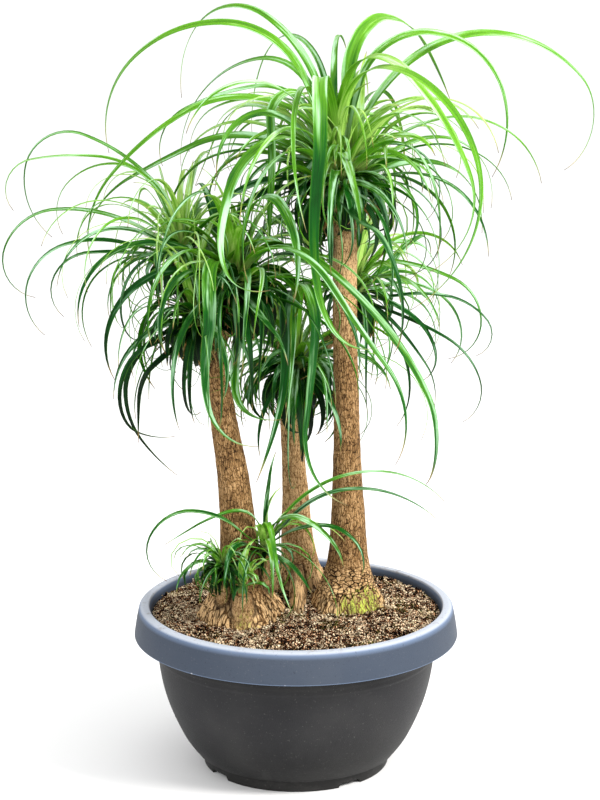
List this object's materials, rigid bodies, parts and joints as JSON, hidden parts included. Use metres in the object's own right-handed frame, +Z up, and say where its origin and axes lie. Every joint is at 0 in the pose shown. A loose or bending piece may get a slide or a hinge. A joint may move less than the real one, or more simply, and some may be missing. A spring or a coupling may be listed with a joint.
{
  "type": "potted ponytail palm",
  "caption": "Round nursery bowl planted with swollen-based palm trunks that end in heads of long, narrow, arching leaves.",
  "frame": {"origin": "middle of the whole plant and bowl seen from above, at the level of the foot ring's underside", "axes": "+Z up, -Y towards the front, +X to the right"},
  "size_m": [0.712, 0.57, 0.9328],
  "materials": {
    "bowl": "matte",
    "soil": "matte",
    "bark": "matte",
    "leaf": "satin"
  },
  "bodies": {
    "root": {"bowl": "bowl", "soil": "soil", "trunk_left": "bark", "trunk_middle": "bark", "trunk_right": "bark", "crown_right": "leaf", "crown_left_main": "leaf", "crown_left_outer": "leaf", "crown_left_front": "leaf", "crown_middle": "leaf", "crown_middle_back": "leaf", "shoot_tall": "leaf", "shoot_stump": "leaf", "shoot_tuft": "leaf"}
  },
  "joints": []
}
